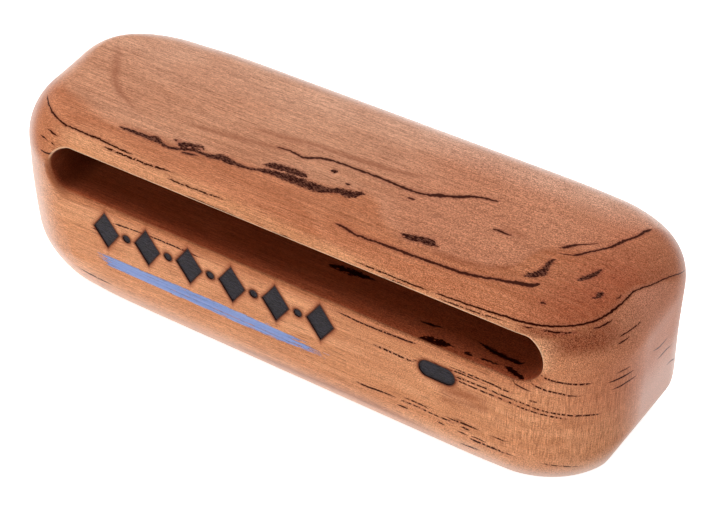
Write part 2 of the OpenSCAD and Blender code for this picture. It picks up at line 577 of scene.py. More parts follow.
# Dark figure in the wood, as a maker would note it down: how broken each line is, from 0 for
# whole to 0.5 for loose dots, then its course as way, place across and half width.
# Veins on the top that run along the block: x, y, half width
TOP_VEINS = [
    (0.00, [(-59, -19.6, 0), (-56, -19.5, .4), (-49, -19.2, .6), (-47, -18.9, .9), (-45, -19.3, .5),
            (-42, -19.9, .4), (-40, -19.5, .45), (-37, -18.1, .4), (-34.5, -17.4, .4),
            (-30, -17.2, .7), (-27.5, -16.2, 1), (-22, -16.4, .55), (-18, -15.9, .4),
            (-15.5, -15.1, .65), (-10, -14, .9), (-4, -13.7, 1.2), (2, -13.4, 1.15),
            (7, -11.4, .95), (10, -10.9, 1.2), (12, -9.9, 1.1), (14, -9, 0)]),
    (0.40, [(-43, -16.2, 0), (-41, -16.5, .4), (-39.3, -17, .9), (-37.3, -16.5, 1.2),
            (-35, -15.8, 1), (-33.5, -15.7, .5), (-32.5, -15.6, 0)]),
    (0.20, [(-38, -19.7, 0), (-35.5, -19.4, .35), (-32.5, -18.7, 0)]),
    (0.00, [(-17, -12.9, 0), (-14.6, -11.8, .85), (-12, -11.4, 1), (-5.5, -10.8, .8), (-4, -11, .5),
            (-2.5, -11.2, 0)]),
    (0.30, [(28.5, -17.5, 0), (30, -17.6, .35), (32.5, -17.5, .9), (37.5, -16.7, 1),
            (38.7, -16.9, .5), (40.5, -17, 0)]),
    (0.20, [(0, -5.2, 0), (1.2, -5.1, .6), (2.3, -4.9, 0)]),
]
# Fine dark lines on the top that run along the block: x, y, half width
TOP_THREADS = [
    (0.00, [(-18, -4.3, 0), (-13.5, -3.9, .3), (-9.5, -4.4, .3), (-8, -4, .5), (-4, -1.9, .45),
            (3.5, -1.2, .35), (14, -1, .35), (22, -1.2, .4), (27.5, -.2, .45), (29, .7, .8),
            (30.5, 1.2, .8), (32, 2, .45), (35, 3.7, .8), (37, 5, .55), (40, 6.2, .4),
            (43, 6.8, .35), (45, 7.3, 0)]),
    (0.20, [(12, -22.9, 0), (15, -23, .3), (21, -23.8, .3), (26, -23.6, .35), (36, -23.2, .4),
            (44, -22.8, .4), (49.5, -22.5, .45), (54.5, -21.4, .45), (59.5, -19.9, .45),
            (62, -19.2, .5), (63.5, -18.5, .8), (65.5, -18, .6), (67, -17.3, .9), (68.5, -16.1, 0)]),
    (0.00, [(47.5, -3.5, 0), (49.5, -3.4, .35), (52.5, -3.3, .3), (54.5, -3, 0)]),
    (0.20, [(6.4, -7.9, 0), (7.3, -7.8, .35), (8.2, -7.7, 0)]),
    (0.20, [(23, -4.3, 0), (24.3, -4.2, .35), (25.6, -3.9, 0)]),
    (0.20, [(71.3, -21.8, 0), (72.3, -21.7, .32), (73.3, -21.5, 0)]),
]
# Veins on the top that run across the block: y, x, half width
STEEP_VEINS = [
    (0.20, [(-15.6, 63.5, 0), (-14.8, 64.8, .9), (-13.6, 65.6, 1.25), (-11.5, 66.8, 1),
            (-10.3, 66.7, .85), (-9, 66.6, .55), (-6.6, 66.5, .5), (-5.3, 67.4, 0)]),
    (0.20, [(-10.1, 75.4, 0), (-8.9, 76.2, .6), (-7.3, 77, .75), (-6.1, 77.8, .7), (-4.6, 78.1, .6),
            (-2.5, 78.7, 0)]),
    (0.20, [(-14, 81.4, 0), (-13.1, 82.2, .5), (-11.6, 82.5, .6), (-10.2, 82.6, 0)]),
]
STEEP_THREADS = [
    (0.00, [(-3.2, 66.6, 0), (-2.5, 68.5, .45), (-1.6, 70.4, .45), (.7, 72.3, .4), (3.6, 74.7, .4),
            (7, 77, .45), (8.4, 77.6, .5), (9.8, 78.1, .45), (13, 80, .4), (16.5, 81.1, .45),
            (18.8, 81.9, 0)]),
    (0.00, [(-1.1, 65.6, 0), (-.6, 66.8, .5), (.9, 67.7, .6), (2.5, 69.1, .45), (4, 71.2, .35),
            (6.2, 73.7, 0)]),
]
# Fine lines round the sides: way round from the middle of the front, height, half width
SIDE_THREADS = [
    (0.00, [(-98, 60.4, 0), (-94, 60.8, .09), (-86, 61.2, .09), (-76, 61.4, .1), (-62, 61.5, .1),
            (-51, 61.3, .09), (-47, 61.3, 0)]),
    (0.38, [(-60.5, 60.8, 0), (-56.5, 60.8, .11), (-45.5, 60.8, .14), (-39, 61, .12), (-31, 61.2, 0)]),
    (0.40, [(-37, 60, 0), (-33, 60, .13), (-26, 60.1, .12), (-20.5, 60.2, .13), (-18, 60.3, 0)]),
    (0.30, [(-31, 58.3, 0), (-27, 58.4, .09), (-16, 58.3, .12), (-10, 58.2, 0)]),
    (0.20, [(-2, 58.3, 0), (0, 58.2, .12), (3, 58.4, .12), (5, 58.4, 0)]),
    (0.20, [(-80.5, 59, 0), (-78, 59.3, .14), (-75.5, 59.3, .16), (-73, 59.4, 0)]),
    (0.20, [(-81, 57, 0), (-79, 57.3, .2), (-76.5, 57.4, 0)]),
    (0.20, [(-75, 57.6, 0), (-74, 57.5, .14), (-73, 57.5, 0)]),
    (0.20, [(-78.5, 54, 0), (-76.5, 54.3, .2), (-74.5, 54.7, .22), (-72, 55.6, 0)]),
    (0.42, [(22.5, 59, 0), (26, 59.1, .12), (41.5, 59.1, .13), (46, 59.2, 0)]),
    (0.46, [(31.5, 58.2, 0), (32.5, 58.2, .14), (36.5, 58.5, .13), (42, 58.5, 0)]),
    (0.10, [(45, 59.1, 0), (48, 59.3, .12), (54, 59.5, .14), (70, 60.2, .16), (80, 60.5, .15),
            (91, 60.7, .13), (99, 61.1, .14), (104.5, 61.3, .12), (110, 61.3, .1), (114, 60.9, .1),
            (117.5, 60.1, .1), (121.5, 59.3, .1), (125.5, 58.3, .12), (130.5, 56.3, .1),
            (135, 54.1, 0)]),
    (0.44, [(47.5, 58.5, 0), (50, 58.6, .11), (61.5, 59, .12), (67.5, 59.4, 0)]),
    (0.30, [(70.5, 59.6, 0), (73.5, 59.7, .13), (75, 59.8, 0)]),
    (0.42, [(76, 59.7, 0), (78, 59.7, .15), (82, 59.6, .15), (87.5, 59.6, 0)]),
    (0.20, [(91, 59.9, 0), (93, 59.7, .12), (95.5, 59.9, .12), (98, 60.1, .1), (100.5, 60.5, 0)]),
    (0.20, [(103.7, 61.8, 0), (106.3, 61.9, .06), (109, 61.9, 0)]),
    (0.35, [(98, 56.6, 0), (100.5, 56.9, .13), (105.5, 57, .13), (107.5, 57, 0)]),
    (0.20, [(97.5, 55.5, 0), (99, 55.5, .18), (102, 55.9, 0)]),
    (0.20, [(111.5, 44.5, 0), (115, 43.1, .19), (118, 42.3, .2), (122.5, 41.9, 0)]),
    (0.20, [(116, 38.7, 0), (119.5, 38, .2), (122.5, 37.6, .2), (125.5, 36.9, 0)]),
    (0.20, [(122, 31.2, 0), (125.5, 30.6, .16), (128.5, 29.2, .18), (131, 28, 0)]),
    (0.35, [(97, 46.9, 0), (99.5, 46.8, .18), (102.5, 46.8, 0)]),
    (0.30, [(94, 44.8, 0), (96.5, 44.6, .24), (101.5, 44.6, .28), (103, 44.6, 0)]),
    (0.35, [(96, 42, 0), (99, 41.7, .22), (102, 41.9, .22), (105, 41.8, 0)]),
    (0.44, [(78, 49.2, 0), (79, 48.4, .28), (80.5, 47.8, .25), (83.5, 47, .26), (89, 46.1, .28),
            (91.7, 45.8, 0)]),
    (0.42, [(75.5, 47, 0), (76.2, 45.8, .25), (78, 44.8, .25), (83, 43.5, .26), (89.4, 42.3, 0)]),
    (0.20, [(70.5, 45.1, 0), (72.2, 44.3, .22), (74.3, 43.6, .23), (76.3, 43.2, 0)]),
    (0.44, [(42, 38, 0), (45, 38.3, .24), (56, 38.6, .24), (62, 38.9, .24), (67, 39, .26),
            (72.5, 38.9, .26), (77.5, 37.7, .22), (82.5, 36.7, .28), (88.5, 35.5, .26),
            (91.8, 35.1, .28), (94.6, 34.6, 0)]),
    (0.46, [(46, 37.2, 0), (51, 37.6, .23), (63, 37.5, .26), (69, 37.7, .26), (74.7, 36.9, .24),
            (83.7, 35.2, .25), (86.5, 34.7, 0)]),
    (0.45, [(53, 41, 0), (58.5, 41.2, .24), (65, 41.3, .26), (70, 41, .22), (72, 41, 0)]),
    (0.42, [(52, 39.9, 0), (54, 40.1, .25), (58, 40.4, .23), (67.5, 40.2, 0)]),
    (0.40, [(48.3, 40, 0), (50, 40.1, .24), (51.5, 39.9, 0)]),
    (0.40, [(75.5, 40.1, 0), (76.5, 40, .22), (77.8, 39.8, 0)]),
    (0.36, [(-53, 40.9, 0), (-50.5, 41.1, .25), (-43, 41.7, .22), (-38, 42, .26), (-27, 42, .28),
            (-22, 41.9, 0)]),
    (0.38, [(18, 43.7, 0), (22.7, 43.4, .26), (27, 43.1, .28), (39, 43.5, .28), (42, 43.7, .3),
            (45, 44.2, 0)]),
    (0.30, [(-60.5, 35.9, 0), (-58.3, 36, .3), (-55, 36.1, .22), (-51, 36.4, 0)]),
    (0.42, [(30.5, 37.6, 0), (34, 37.5, .32), (41, 37.4, .3), (45, 37.8, 0)]),
    (0.35, [(25.5, 22, 0), (28, 21.8, .28), (34, 22.3, .28), (39.5, 22.6, 0)]),
    (0.35, [(-69, 17.4, 0), (-66.3, 16.9, .3), (-60.7, 16.7, .36), (-55.5, 16.8, 0)]),
    (0.30, [(38.5, 20, 0), (40.4, 20.1, .26), (42.5, 20.1, 0)]),
    (0.42, [(40.4, 23.8, 0), (45.5, 23.8, .26), (49, 23.5, 0)]),
    (0.46, [(39.5, 22.2, 0), (43, 22.5, .22), (51, 22.3, .22), (54, 22.5, .28), (56, 22.3, 0)]),
    (0.42, [(50.5, 23.9, 0), (55, 23.5, .25), (59, 23.7, .3), (64, 23.8, 0)]),
    (0.30, [(50.5, 20.3, 0), (51.8, 20.2, .24), (53.3, 20.1, 0)]),
    (0.30, [(56.5, 20, 0), (58, 20.1, .28), (59.2, 20, 0)]),
    (0.30, [(57.4, 22.2, 0), (59.1, 22.3, .32), (60.3, 22.2, 0)]),
    (0.42, [(59.7, 19.2, 0), (61.5, 19.2, .36), (69.6, 19.4, .3), (75.6, 19.3, 0)]),
    (0.35, [(60.3, 20.3, 0), (62.7, 20.5, .2), (65.3, 20.5, 0)]),
    (0.35, [(66, 23.7, 0), (68.5, 23.8, .22), (71.2, 23.7, 0)]),
    (0.40, [(56.5, 14.9, 0), (58.7, 15, .36), (61, 15.3, .34), (63.6, 15.9, 0)]),
    (0.46, [(77.7, 18.8, 0), (81, 18.2, .22), (85.5, 17.3, .24), (92, 16.2, 0)]),
    (0.20, [(137, 53, 0), (146, 49.5, .12), (160, 47.6, .16), (178, 47.9, .15), (204, 50.2, .14),
            (222, 51.4, 0)]),
    (0.38, [(150, 45.8, 0), (158, 44.6, .2), (171, 44.3, .22), (186, 45.1, 0)]),
    (0.42, [(163, 38.2, 0), (177, 37.1, .24), (198, 37.8, .22), (213, 38.9, 0)]),
    (0.44, [(190, 27.6, 0), (206, 26.9, .26), (226, 27.4, 0)]),
    (0.36, [(-216, 52.9, 0), (-198, 54.3, .14), (-181, 55.2, .16), (-165, 55.8, 0)]),
    (0.42, [(-208, 41.8, 0), (-190, 42.4, .22), (-176, 43.3, 0)]),
    (0.42, [(-186, 30.7, 0), (-171, 31.4, .24), (-158, 31.1, 0)]),
    (0.20, [(-135, 57.8, 0), (-126, 58.9, .1), (-112, 59.8, .12), (-102, 60.2, 0)]),
    (0.38, [(-141, 46.1, 0), (-128, 46.9, .2), (-117, 46.5, 0)]),
    (0.40, [(-122, 34.9, 0), (-111, 35.6, .22), (-99, 35.2, 0)]),
]
# Black spots on the floor of the slot: x, y, half width
FLOOR_VEINS = [
    (0.30, [(43.5, -32.4, 0), (45.5, -31.3, 1), (48, -30.9, 1.3), (50.5, -30.6, 1), (54.6, -30, 0)]),
    (0.10, [(55, -25.3, 0), (59.5, -25.8, .5), (64, -26.6, .7), (68.5, -26.7, .6), (71, -25.8, 0)]),
    (0.20, [(66.5, -29.5, 0), (69, -29.9, .8), (71.5, -30.6, .8), (73.5, -31.2, 0)]),
    (0.10, [(39.5, -26.4, 0), (44.2, -26.1, .4), (48.5, -25.4, 0)]),
    (0.30, [(56, -30.4, 0), (57.5, -30.4, .5), (59, -30.5, 0)]),
    (0.30, [(9, -20.4, 0), (16, -19.7, 1.2), (25, -19.2, 0)]),
    (0.20, [(60, -30.2, 0), (62, -30, .4), (64, -30, .35), (66, -29.7, 0)]),
]
# Soft brown and reddish tones, in the same terms
SOFT_TOP = [
    (0, [(34, -19.5, 0), (41, -19.2, .4), (48.5, -18.6, .5), (54.5, -16.9, .5), (59, -14.6, .45),
         (60.3, -12, 0)]),
    (0, [(48.5, -1.8, 0), (53, -1.9, .5), (57.5, -2, 0)]),
    (0, [(-44, -8.8, 0), (-30, -6.6, .5), (-18, -4.6, .4), (-12, -4, 0)]),
    (0, [(-30, -1.2, 0), (-8, 1.8, .8), (14, 3.6, .6), (34, 7.6, 0)]),
]
SOFT_STEEP = [
    (0, [(-12.4, 60, 0), (-6.8, 61.4, .6), (-5.2, 62.8, .6), (-3.3, 64.3, .6), (-1.2, 66, 0)]),
    (0, [(-13, -56, 0), (-9, -63.5, .8), (-4.4, -71.5, 1.1), (5, -78.6, .9), (13, -83.6, 0)]),
]
SOFT_SIDE = [
    (0, [(50, 31.5, 0), (54, 32.6, 1.2), (58, 33.6, 1.6), (62, 34.4, 1), (66, 35, 0)]),
    (0, [(50, 28.5, 0), (55, 30.2, .8), (60, 31.2, 1), (66, 32.2, 0)]),
    (0, [(-20, 12.6, 0), (8, 13.6, 1.2), (34, 14.4, 1), (52, 13.8, 0)]),
]

# Height of the layer line round the sides, where the wood turns from golden to reddish, and the
# line on the top where it turns from reddish to tan
LAYER_LINE = [(-233, 55.6), (-135, 57), (-98, 60.3), (-62, 61.5), (-40, 61.1), (-20, 60.7), (7, 60.2),
              (30, 59.7), (45, 59.2), (74, 60.2), (92, 60.5), (106, 61.1), (117, 60), (133, 55.2),
              (160, 53.6), (233, 55.6)]
TAN_LINE = [(-95, -9), (-75, -16), (-59, -19.6), (-40, -18.6), (-25, -15.8), (-6, -13.8), (6, -11.6),
            (14, -9), (22, -15), (34, -19.5), (48.5, -18.6), (56, -16.4), (60.3, -12), (62, -6),
            (67, -1), (72.3, .7), (77, 7), (80, 13), (82, 19), (92, 30)]


def curve(value, points):
    """A Float Curve through points from 0 to 1."""
    node = new_node(value.tree, "ShaderNodeFloatCurve", {"Value": value})
    line = node.mapping.curves[0]
    while len(line.points) < len(points):
        line.points.new(0.5, 0.5)
    for point, (x, y) in zip(line.points, points):
        point.location = (x, y)
        point.handle_type = "AUTO_CLAMPED"
    node.mapping.update()
    return Wire(node.outputs[0])


def tracks(lines, spare=1.5):
    """Joins lines that follow one another, so that one set of curves draws several of them."""
    made = []
    for broken, course in sorted(lines, key=lambda line: line[1][0][0]):
        for track in made:
            if track[-1][0] + spare < course[0][0]:
                break
        else:
            track = []
            made.append(track)
        track += [(way, place, half, broken) for way, place, half in course]
    return made


def figure(lines, way, across, fray, dash, ragged, soft=0.1, halo=0.8, taper=8.0, wide=1.0):
    """All the lines of one table as two masks: the lines, and the tint round them."""
    masks, halos = [], []
    for course in tracks(lines):
        ways, places, halves, breaks = zip(*course)
        span = ways[-1] - ways[0]
        low, high = min(places) - 0.5, max(places) + 0.5
        along = way.scaled(1 / span, -ways[0] / span)

        def drawn(values, start=0.0, full=1.0):
            """A curve along the course, from numbers between a start and a full value."""
            return curve(along, [((w - ways[0]) / span, (v - start) / (full - start))
                                 for w, v in zip(ways, values)])

        made = use_group(
            way.tree, FIGURE_LINE, Across=across, Fray=fray, Dash=dash, Ragged=ragged,
            Middle=drawn(places, low, high).scaled(high - low, low),
            Width=drawn(halves, full=max(halves)) * (max(halves) * wide),
            Broken=drawn(breaks) if len(set(breaks)) > 1 else breaks[0],
            Soft=soft, Halo_reach=halo, Taper=taper)
        masks.append(made["Mask"])
        halos.append(made["Halo"])
    return larger(*masks), larger(*halos)


def line_place(value, points):
    """The place of a line that crosses the whole block."""
    starts, places = zip(*points)
    span = starts[-1] - starts[0]
    low, high = min(places) - 1, max(places) + 1
    way = value.ramp(starts[0], starts[-1])
    line = curve(way, [((a - starts[0]) / span, (b - low) / (high - low)) for a, b in points])
    return line.scaled(high - low, low)


def whereabouts(tree):
    """Where a point of the block is: its place, and masks for the parts of the block."""
    at = SimpleNamespace(place=millimetres(tree))
    at.x, at.y, at.z = parts_of(at.place)
    # the two ways round meet at mid back, where the value would run backwards in one face
    meeting = abs(at.x).ramp(1.6, 1.5) * at.y.ramp(19.0, 20.0)
    at.round = meeting.mixed(surface_value(tree, "girth"), HALF_WAY)
    at.deep, at.lip_gap = surface_value(tree, "deep"), surface_value(tree, "lip_gap")
    at.in_slot = at.deep.ramp(0.5, 1.4)
    at.outside = 1.0 - at.in_slot
    at.top = at.z.soft(HEIGHT - 5.5, HEIGHT - 2.5)
    at.side = at.z.ramp(HEIGHT - 0.52, HEIGHT - 0.6) * at.outside
    at.slot_floor = at.in_slot * at.z.ramp(46.5, 45.9)
    at.right_end = at.x.soft(60.0, 84.0)
    at.end_wood = at.round.between(103.0, 165.0, 12.0)
    facing = Wire(new_node(tree, "ShaderNodeNewGeometry").outputs["Normal"])
    at.sidewall = abs(parts_of(facing)[2]).soft(0.85, 0.35)
    return at


def figure_masks(at):
    """Dark figure, the tint round it and the soft tones, each on its own faces."""
    sway = noise(at.place, (0.22, 0.22, 0.22), 3.0, 0.6)
    fray = noise(at.place, (1.2, 4.2, 4.2), 2.0, 0.7, (4, 4, 4))
    dash = noise(at.place, (0.45, 0.9, 2.0), 1.0, 0.5, (8, 1, 3))
    beads = noise(at.place, (1.6, 1.6, 0.6), 1.0, 0.5, (2, 8, 5))
    wobble = noise(at.place, (0.9, 0.9, 0.9), 1.0, 0.5, (6, 3, 1))
    unsteady = sway.centred(0.5) + wobble.centred(0.7)
    x, y = at.x + unsteady, at.y + unsteady
    z = at.z + (sway.centred(0.12) + wobble.centred(0.3))
    veins, vein_tint = figure(TOP_VEINS, at.x, y, fray, dash, 0.45, wide=1.25)
    threads, thread_tint = figure(TOP_THREADS, at.x, y, fray, dash, 0.4)
    steep, steep_tint = figure(STEEP_VEINS, at.y, x, fray, dash, 0.7, wide=1.1)
    slant, slant_tint = figure(STEEP_THREADS, at.y, x, fray, dash, 0.35)
    sides, side_tint = figure(SIDE_THREADS, at.round, z, fray, beads, 0.22, 0.05, 0.3, 25.0)
    floor, _ = figure(FLOOR_VEINS, at.x, y, fray, dash, 0.5, 0.15)
    soft_top, _ = figure(SOFT_TOP, at.x, y, fray, dash, 0.1, 1.2, 0.8, 3.0)
    soft_steep, _ = figure(SOFT_STEEP, at.y, x, fray, dash, 0.1, 1.6, 0.8, 1.0)
    soft_side, _ = figure(SOFT_SIDE, at.round, z, fray, dash, 0.4, 1.4, 0.8, 2.0)
    thick = larger(veins, steep) * at.top
    thin = larger(threads, slant) * at.top * 0.93
    tint = larger(vein_tint, thread_tint, steep_tint, slant_tint)
    return SimpleNamespace(
        sway=sway, thick=thick,
        dark=larger(thick, thin, sides * at.side, floor * at.slot_floor),
        tint=larger(tint * at.top, side_tint * at.side * 0.7),
        soft=larger(larger(soft_top, soft_steep) * at.top, soft_side * at.side))


def body_colour(at, grain, sway):
    """Golden on the sides, reddish above the layer line and tan over most of the top."""
    at.above = at.z - line_place(at.round, LAYER_LINE) + sway.centred(0.5)
    # the layer line is crisp at the front and fades over a few millimetres at the back
    faded = at.y.soft(5.0, 25.0).mixed(at.above, at.above.scaled(0.3, 0.75))
    reddish = faded.soft(-0.8, 1.0) * at.outside
    at.below = (1.0 - reddish) * at.outside
    beyond = at.y - line_place(at.x, TAN_LINE) + sway.centred(3.0)
    tan = beyond.soft(-2.0, 3.0) * larger(at.top, at.y.soft(2.0, 16.0))
    golden = blend(grain["Bands"], srgb(222, 158, 116), srgb(207, 141, 99))
    red = washed(
        blend(grain["Bands"], srgb(204, 131, 94), srgb(189, 115, 79)),
        # deeper red at the right end: partly redder wood, partly painted shade
        (srgb(166, 84, 57), at.right_end * 0.9),
        (srgb(192, 122, 90), at.y.soft(-6.0, 16.0) * 0.8))
    pale = washed(
        blend(grain["Bands"], srgb(214, 154, 122), srgb(203, 142, 110)),
        # paler toward the back of the top: painted light
        (srgb(228, 180, 154), at.y.soft(-6.0, 26.0) * 0.5),
        # darker and redder toward the right: partly redder wood, partly painted shade
        (srgb(205, 135, 103), at.x.soft(0.0, 34.0) * 0.8),
        (srgb(186, 108, 78), at.right_end * 0.75),
        # a painted sheen near the back rim
        (srgb(238, 191, 167), at.y.soft(12.0, 25.0) * at.x.soft(-40.0, 30.0) * 0.75))
    return blend(reddish, golden, blend(tan, red, pale))


def side_tones_and_painted_light(tone, at, grain):
    """Flushes at both ends and smoky wood under the layer line, with painted light: paler low down and
    on the end.
    """
    smoky = at.round.between(80.0, 99.0, 6.0) * at.above.between(-5.2, -0.2, 2.0)
    narrow = at.round.between(70.0, 92.0, 8.0) * at.above.between(-2.0, -0.2, 1.0)
    at.smoky = larger(smoky, narrow) * at.outside
    right = at.round.between(84.0, 165.0, 14.0) * at.z.soft(20.0, 42.0)
    left = at.round.between(-135.0, -72.0, 9.0) * at.z.soft(44.0, 56.0)
    beside = at.round.between(72.0, 80.0, 3.0) * at.z.between(50.0, 57.0, 2.5)
    return washed(
        tone,
        (srgb(192, 116, 84), right * at.below * 0.75),
        (srgb(176, 104, 70), left * at.below * 0.8),
        # paler low down: painted light thrown up from the floor
        (srgb(240, 194, 164), at.z.soft(24.0, 5.0) * 0.6),
        (srgb(132, 58, 36), at.smoky * 0.85),
        (srgb(246, 192, 152), beside * at.below * 0.6),
        # the end paler: painted light
        (srgb(212, 143, 117), at.end_wood * at.below * 0.75),
        (srgb(176, 104, 70), grain["Clouds"] * 0.2),
        (srgb(164, 92, 58), (1.0 - grain["Streaks"]) * 0.12),
        (srgb(236, 176, 134), grain["Streaks"] * 0.10))


def fine_grain(tone, at, grain):
    """Fibres along the block, specks where the wood is figured, and rays at the right corner."""
    specky = larger(at.x.soft(0.0, 50.0).mixed(0.35, 0.64), at.smoky * 0.9)
    low_front = at.sidewall * at.x.soft(10.0, 60.0) * 0.55
    rays = at.round.between(62.0, 106.0, 8.0) * at.z.between(18.0, 48.0, 5.0) * at.sidewall
    detail = larger(specky, low_front).mixed(grain["Fibres"], grain["Specks"])
    detail = (rays * 0.42).mixed(detail, grain["Rays"])
    contrast = specky.mixed(0.65, 1.05) * (1.0 - at.end_wood * at.sidewall * 0.3)
    shade = blend(detail, (0.32, 0.21, 0.16), (1.66, 1.74, 1.76))
    long_pores = grain["Long pores"] * at.sidewall.scaled(0.5, 0.1) * (1.0 - at.end_wood)
    return washed(
        blend(contrast, tone, shade, "MULTIPLY"),
        (srgb(120, 58, 34), grain["Pores"] * 0.22),
        (srgb(84, 34, 16), long_pores))


def figured(tone, at, marks):
    """The soft tones, the tint round the dark figure, and the figure with its paler specks."""
    speck = noise(at.place, (1.6, 3.4, 3.4), 1.0, 0.5).ramp(0.48, 0.62) * marks.thick * 0.8
    return washed(
        tone,
        (srgb(140, 70, 44), marks.soft * 0.6),
        (srgb(146, 72, 58), marks.tint * 0.5),
        (blend(speck, srgb(46, 9, 2), srgb(128, 78, 60)), marks.dark))


def slot_wood_and_painted_light(tone, at, grain):
    """Painted shade in the slot and under its lower lip, darkest at its left end, a painted highlight
    on the upper lip and a dark brown halo round the lower part of its left end.
    """
    # painted shade inside the slot, darker and redder with depth
    inner = blend(at.deep.soft(1.0, 9.0), (0.74, 0.40, 0.33), (0.46, 0.23, 0.16))
    tone = blend(at.in_slot, tone, inner, "MULTIPLY")
    # painted shade on the front under the lower lip
    shade_below_lip = at.lip_gap.soft(4.0, 0.5) * at.z.soft(SLOT_Z, SLOT_Z - 4) * at.outside * 0.6
    tone = blend(shade_below_lip, tone, (0.72, 0.52, 0.46), "MULTIPLY")
    # a painted highlight along the upper lip
    upper_lip_highlight = at.lip_gap.soft(0.65, 0.38) * at.z.soft(SLOT_Z - 1, SLOT_Z + 6)
    tone = washed(tone, (srgb(238, 198, 162), upper_lip_highlight * 0.7))
    # darker at the slot's left end: painted shade inside the slot, and a dark brown halo round the
    # outside of its lip
    left_end_dark = at.x.soft(-65.0, -72.0) * grain["Specks"].scaled(0.5, 0.5)
    tone = blend(left_end_dark * at.in_slot, tone, (0.30, 0.24, 0.22), "MULTIPLY")
    halo = at.lip_gap.soft(3.2, 0.4) * at.z.soft(SLOT_Z + 5, SLOT_Z - 2)
    return washed(tone, (srgb(112, 52, 32), left_end_dark * halo * at.outside))


def wood_material():
    """Figured hardwood with a hand-rubbed finish: matt seen square on, with a sheen at the rims."""
    material, tree, shader = new_material("figured hardwood")
    at = whereabouts(tree)
    grain = use_group(tree, GRAIN, Place=at.place)
    marks = figure_masks(at)
    tone = body_colour(at, grain, marks.sway)
    tone = side_tones_and_painted_light(tone, at, grain)
    tone = fine_grain(tone, at, grain)
    tone = figured(tone, at, marks)
    tone = slot_wood_and_painted_light(tone, at, grain)
    # scorch round the burned marks, and char in their seats
    edge = use_group(tree, BURNED_EDGE, Place=at.place)["Distance"]
    spread = edge + marks.sway.centred(0.8)
    tone = washed(
        tone,
        (srgb(140, 66, 42), spread.soft(1.7, 0.0) * 0.75),
        (srgb(70, 34, 26), spread.soft(0.7, 0.0) * 0.8),
        (srgb(34, 26, 27), edge.ramp(0.12, 0.0)))
    facing = Wire(new_node(tree, "ShaderNodeLayerWeight", {"Blend": 0.5}).outputs["Facing"])
    dull = larger(at.end_wood * at.z.between(36.0, 56.0, 8.0) * 0.7,
                  at.x.soft(-84.0, -94.0) * 0.4, marks.dark * 0.7)
    height = 1.0 - larger(grain["Pores"], grain["Long pores"])
    give(shader, {"Base Color": tone, "Roughness": grain["Pores"].scaled(0.10, 0.40),
                  "Specular IOR Level": 0.04, "Coat Roughness": 0.32, "Coat IOR": 1.8,
                  "Coat Weight": facing.soft(0.45, 0.82) * (1.0 - dull),
                  "Normal": bumps(height, 0.4, 0.00006)})
    return material


def char_material():
    """Black wood with a grey bloom of ash, browner along its edges."""
    material, tree, shader = new_material("charred wood")
    place = millimetres(tree)
    grain = use_group(tree, GRAIN, Place=place)
    edge = use_group(tree, BURNED_EDGE, Place=place)["Distance"]
    ash = noise(place, (0.5, 1.6, 1.6), 4.0, 0.65).soft(0.35, 0.75)
    tone = washed(
        blend(ash, srgb(26, 22, 26), srgb(58, 54, 62)),
        (srgb(12, 9, 10), grain["Pores"] * 0.6),
        (srgb(48, 28, 24), edge.soft(-0.6, 0.0) * 0.7))
    give(shader, {"Base Color": tone, "Roughness": ash.scaled(0.2, 0.5),
                  "Specular IOR Level": 0.25, "Normal": bumps(ash - grain["Pores"], 0.7, 0.0002)})
    return material


def paint_material():
    """Dry-brushed paint: solid along its middle, streaked where the brush ran out."""
    material, tree, shader = new_material("blue paint")
    place = millimetres(tree)
    x, _, z = parts_of(place)
    grain = use_group(tree, GRAIN, Place=place)
    bristle = noise(place, (0.035, 1.0, 1.5), 3.0, 0.65)
    skip = noise(place, (0.35, 1.0, 4.2), 2.0, 0.6)
    tone = washed(
        blend(bristle.ramp(0.35, 0.65), srgb(124, 148, 204), srgb(152, 168, 216)),
        (srgb(112, 100, 140), grain["Pores"] * 0.4))
    # cover is full in the middle and thins towards both ends and both long edges
    edge = BAND_HIGH / 2 - abs(z - BAND_Z)
    start = x.soft(band_low[0] + 0.5, band_low[0] + 16)
    end = x.soft(band_high[0] - 0.5, band_high[0] - 30)
    cover = edge.soft(0.0, 1.7) * start * end
    spare = bristle + skip * 0.55 - cover.scaled(-0.47, 1.07)
    give(shader, {"Base Color": tone, "Alpha": spare.ramp(-0.02, 0.03) * 0.93, "Roughness": 0.55,
                  "Specular IOR Level": 0.2, "Normal": bumps(bristle, 0.4, 0.00008)})
    return material


# The pieces
def points_of(verts):
    """The places of vertices as rows of numbers."""
    return np.array([v.co[:] for v in verts], dtype=float)


def mark_surface(piece):
    """Leaves on the mesh the way round it, the depth inside the slot and the distance to a lip."""
    points = points_of(piece.data.vertices) / MM
    outer, inner = body_distance(points), slot_distance(points)
    # dents that the sanding left outside the slot have no depth in it
    deep = np.where(inner < 1.5, np.clip(-outer, 0, 30), 0)
    lip_gap = np.clip(np.hypot(outer, inner), 0, 8)
    for name, value in (("girth", girth(points)), ("deep", deep), ("lip_gap", lip_gap)):
        layer = piece.data.attributes.new(name, "FLOAT", "POINT")
        layer.data.foreach_set("value", value.astype(np.float32))


